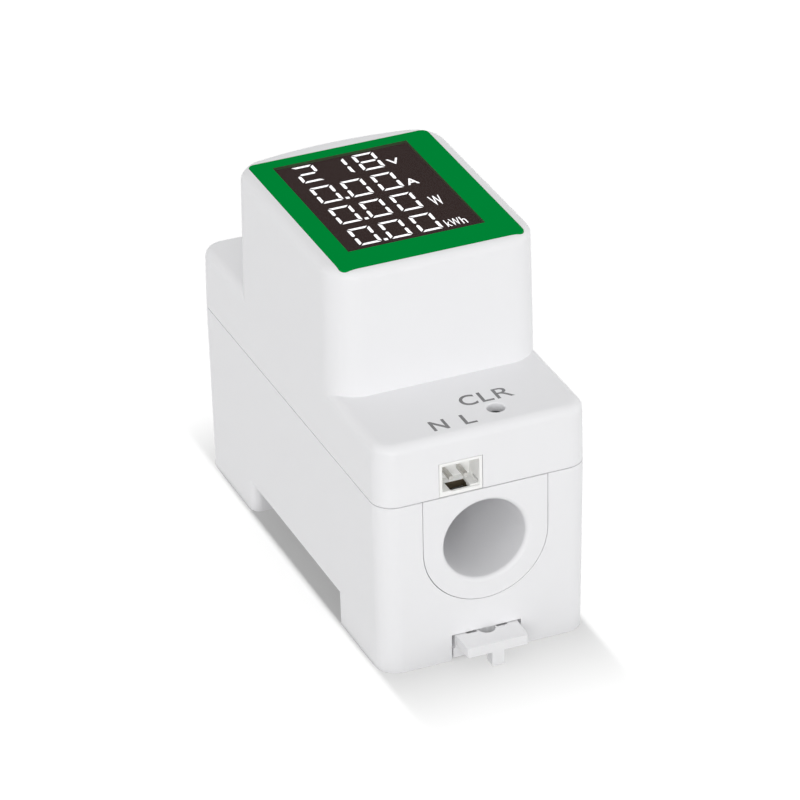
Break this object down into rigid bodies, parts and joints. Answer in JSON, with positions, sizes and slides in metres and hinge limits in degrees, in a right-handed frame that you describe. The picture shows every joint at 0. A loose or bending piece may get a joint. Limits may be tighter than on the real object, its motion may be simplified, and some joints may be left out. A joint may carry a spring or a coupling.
{
  "type": "din rail energy meter",
  "caption": "Plug-on energy meter for a top-hat rail: two-shell case, raised read-out, through bore for the measured conductor, small supply socket, clear button and rail clip.",
  "frame": {"origin": "centre of the bounding box, on the plane of the rear feet", "axes": "+X along the rail, to the right seen from the clip; +Y from the clip end to the far end; +Z from the rail to the read-out"},
  "size_m": [0.036, 0.0808, 0.0631],
  "materials": {
    "case_white": "fine satin moulded plastic",
    "plate_white": "fine satin moulded plastic",
    "clip_white": "fine satin moulded plastic",
    "socket_white": "warm white nylon",
    "button_dark": "moulded plastic",
    "label_green": "printed satin film",
    "window_film": "tinted clear film",
    "display_glass": "display glass with printed segments",
    "tinned_metal": "tin plated",
    "light_guide": "clear acrylic with a diffusing back",
    "tray_white": "reflective white plastic",
    "led_package": "lamp package",
    "board_green": "solder mask on glass fibre",
    "chip_black": "moulded epoxy",
    "connector_black": "nylon",
    "resistor_coat": "cement coat",
    "varistor_coat": "epoxy coat",
    "film_case": "capacitor box",
    "can_sleeve": "shrunk sleeve on a can",
    "ferrite": "sintered ferrite",
    "copper_wire": "enamelled copper wire",
    "crystal_can": "drawn can",
    "transformer_case": "moulded nylon",
    "lead_sleeve": "insulated wire",
    "switch_black": "moulded plastic",
    "sheet_steel": "plated sheet steel",
    "spring_steel": "spring wire",
    "screw_steel": "zinc plated"
  },
  "bodies": {
    "housing": {"lower_housing": "case_white", "upper_housing": "case_white", "near_bore_plate": "plate_white", "far_bore_plate": "plate_white", "clip_spring": "spring_steel", "ct_case": "transformer_case", "ct_case_lid": "transformer_case", "ct_core": "ferrite", "ct_winding": "copper_wire", "ct_leads": "lead_sleeve", "main_board": "board_green", "voltage_header": "socket_white", "voltage_pins": "tinned_metal", "fuse_resistor": "resistor_coat", "varistor": "varistor_coat", "film_capacitor": "film_case", "filter_capacitor": "can_sleeve", "choke_core": "ferrite", "choke_winding": "copper_wire", "crystal": "crystal_can", "bridge_rectifier": "chip_black", "supply_chip": "chip_black", "metering_chip": "chip_black", "display_controller": "chip_black", "clear_switch": "switch_black", "clear_switch_plate": "sheet_steel", "clear_switch_legs": "tinned_metal", "clear_switch_dome": "sheet_steel", "front_label": "label_green", "display_window": "window_film", "lcd_front_glass": "display_glass", "lcd_rear_glass": "display_glass", "lcd_pins": "tinned_metal", "backlight_tray": "tray_white", "light_guide": "light_guide", "backlight_leds": "led_package", "display_board": "board_green", "riser_header": "connector_black", "riser_pins": "tinned_metal", "housing_screws": "screw_steel", "display_board_screws": "screw_steel"},
    "rail_clip": {"rail_clip": "clip_white"},
    "clear_button": {"clear_button": "button_dark"}
  },
  "joints": [
    {"name": "rail_clip", "type": "slide", "parent": "housing", "child": "rail_clip", "axis": [0, -1, 0], "range_m": [0, 0.0035], "stiffness_N_per_m": 400, "springref_m": -0.002, "deforming": ["clip_spring"]},
    {"name": "clear_button", "type": "slide", "parent": "housing", "child": "clear_button", "axis": [0, 0, -1], "range_m": [0, 0.00025], "stiffness_N_per_m": 1500, "springref_m": -0.0002, "deforming": ["clear_switch_dome"]}
  ]
}
